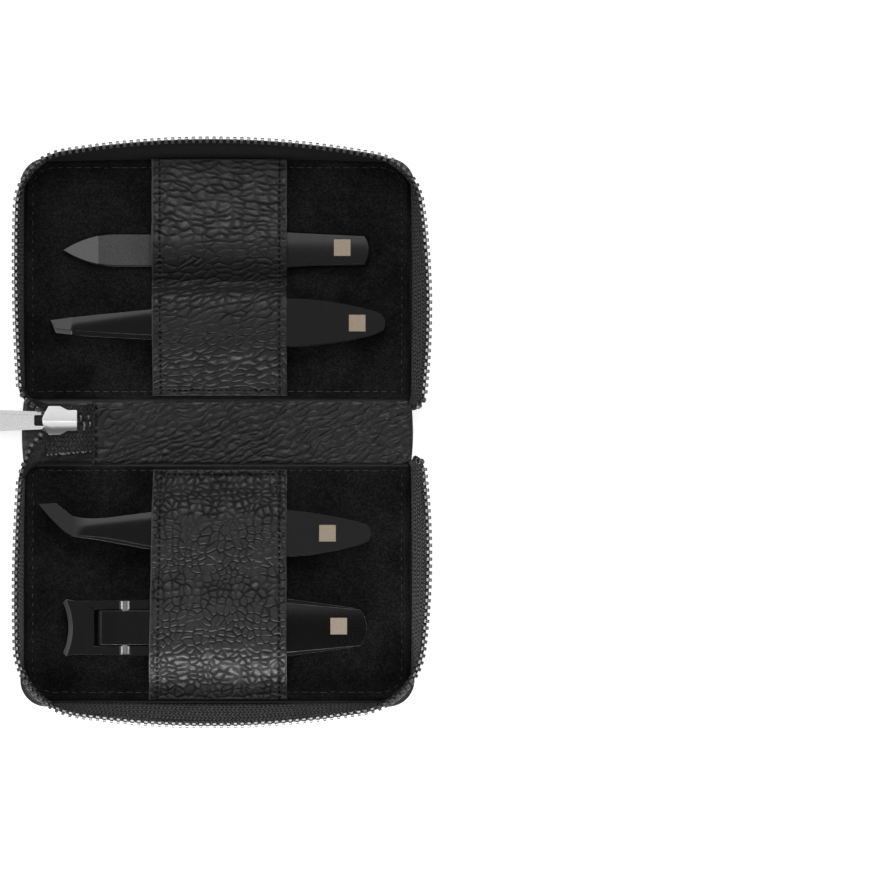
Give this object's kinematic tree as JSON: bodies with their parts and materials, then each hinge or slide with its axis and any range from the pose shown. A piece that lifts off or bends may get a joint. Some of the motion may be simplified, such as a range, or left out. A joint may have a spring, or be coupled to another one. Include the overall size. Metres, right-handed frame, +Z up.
{
  "type": "manicure set case",
  "caption": "Zip-around leather manicure case that lies open, with nail file, two tweezers and nail clipper held under wide leather straps.",
  "frame": {"origin": "middle of the spine, on the surface that the open case lies on", "axes": "+X along the spine away from the slider, +Y towards the front half, +Z up out of the open case"},
  "size_m": [0.158, 0.158, 0.0115],
  "materials": {
    "leather": "pebbled black full-grain leather",
    "suede": "black suede",
    "board": "stiffener board",
    "zip_tape": "black herringbone zip tape",
    "zip_metal": "antique nickel zip teeth",
    "bright_metal": "bright satin nickel",
    "enamel": "black enamel",
    "black_steel": "satin black coated steel"
  },
  "bodies": {
    "back": {"back_cover": "leather", "back_board": "board", "back_lining": "suede", "back_strap": "leather", "back_zip_tape": "zip_tape", "back_zip_teeth": "zip_metal", "back_zip_end_stop": "zip_metal"},
    "spine": {"spine_cover": "leather", "spine_board": "board", "spine_lining": "leather", "zip_tail_tape": "zip_tape", "zip_tail_teeth": "zip_metal", "zip_bottom_stop": "zip_metal"},
    "front": {"front_cover": "leather", "front_board": "board", "front_lining": "suede", "front_strap": "leather", "front_zip_tape": "zip_tape", "front_zip_teeth": "zip_metal", "front_zip_end_stop": "zip_metal", "badge_rim": "bright_metal", "badge_plate": "enamel"},
    "zip_slider": {"slider_body": "bright_metal", "slider_bail": "bright_metal"},
    "pull_tab": {"pull_tab": "bright_metal"},
    "pull_thong": {"pull_thong": "leather"},
    "nail_file": {"nail_file": "black_steel"},
    "slant_tweezers": {"slant_tweezers_lower_leg": "black_steel"},
    "slant_tweezers_leg": {"slant_tweezers_upper_leg": "black_steel"},
    "claw_tweezers": {"claw_tweezers_lower_leg": "black_steel"},
    "claw_tweezers_leg": {"claw_tweezers_upper_leg": "black_steel"},
    "nail_clipper": {"clipper_lower_jaw": "black_steel", "clipper_rivet": "black_steel"},
    "clipper_jaw": {"clipper_upper_jaw": "black_steel", "clipper_axle": "black_steel"},
    "clipper_lever": {"clipper_lever": "black_steel"}
  },
  "joints": [
    {"name": "spine_fold", "type": "hinge", "parent": "back", "child": "spine", "pos_m": [0, -0.00867, 0.0032], "axis": [1, 0, 0], "range_deg": [0, 90]},
    {"name": "front_fold", "type": "hinge", "parent": "spine", "child": "front", "pos_m": [0, 0.00867, 0.0032], "axis": [1, 0, 0], "range_deg": [0, 90]},
    {"name": "slider_slide", "type": "slide", "parent": "spine", "child": "zip_slider", "axis": [-1, 0, 0], "range_m": [0, 0.003]},
    {"name": "tab_swing", "type": "hinge", "parent": "zip_slider", "child": "pull_tab", "pos_m": [-0.0456, 0.0032, 0.00465], "axis": [0, -1, 0], "range_deg": [-45, 0]},
    {"name": "thong_swing", "type": "hinge", "parent": "pull_tab", "child": "pull_thong", "pos_m": [-0.06742, 0.0032, 0.00282], "axis": [0, 1, 0], "range_deg": [0, 80]},
    {"name": "file_slide", "type": "slide", "parent": "front", "child": "nail_file", "axis": [1, 0, 0], "range_m": [-0.008, 0.008]},
    {"name": "slant_slide", "type": "slide", "parent": "front", "child": "slant_tweezers", "axis": [1, 0, 0], "range_m": [-0.005, 0.0055]},
    {"name": "slant_squeeze", "type": "hinge", "parent": "slant_tweezers", "child": "slant_tweezers_leg", "pos_m": [0.0359, 0.029, 0.006], "axis": [0, -1, 0], "range_deg": [0, 1.4], "stiffness_Nm_per_rad": 4.5},
    {"name": "claw_slide", "type": "slide", "parent": "back", "child": "claw_tweezers", "axis": [1, 0, 0], "range_m": [-0.003, 0.009]},
    {"name": "claw_squeeze", "type": "hinge", "parent": "claw_tweezers", "child": "claw_tweezers_leg", "pos_m": [0.0321, -0.027, 0.006], "axis": [0, -1, 0], "range_deg": [0, 1.4], "stiffness_Nm_per_rad": 4.5},
    {"name": "clipper_slide", "type": "slide", "parent": "back", "child": "nail_clipper", "axis": [1, 0, 0], "range_m": [-0.008, 0.0045]},
    {"name": "clipper_press", "type": "hinge", "parent": "nail_clipper", "child": "clipper_jaw", "pos_m": [0.033, -0.0519, 0.00472], "axis": [0, -1, 0], "range_deg": [0, 0.6], "stiffness_Nm_per_rad": 25},
    {"name": "lever_lift", "type": "hinge", "parent": "clipper_jaw", "child": "clipper_lever", "pos_m": [-0.0244, -0.0519, 0.0081], "axis": [0, -1, 0], "range_deg": [0, 1.8]}
  ],
  "couplings": [
    {"joint": "front_fold", "follows": "spine_fold", "ratio": 1}
  ]
}
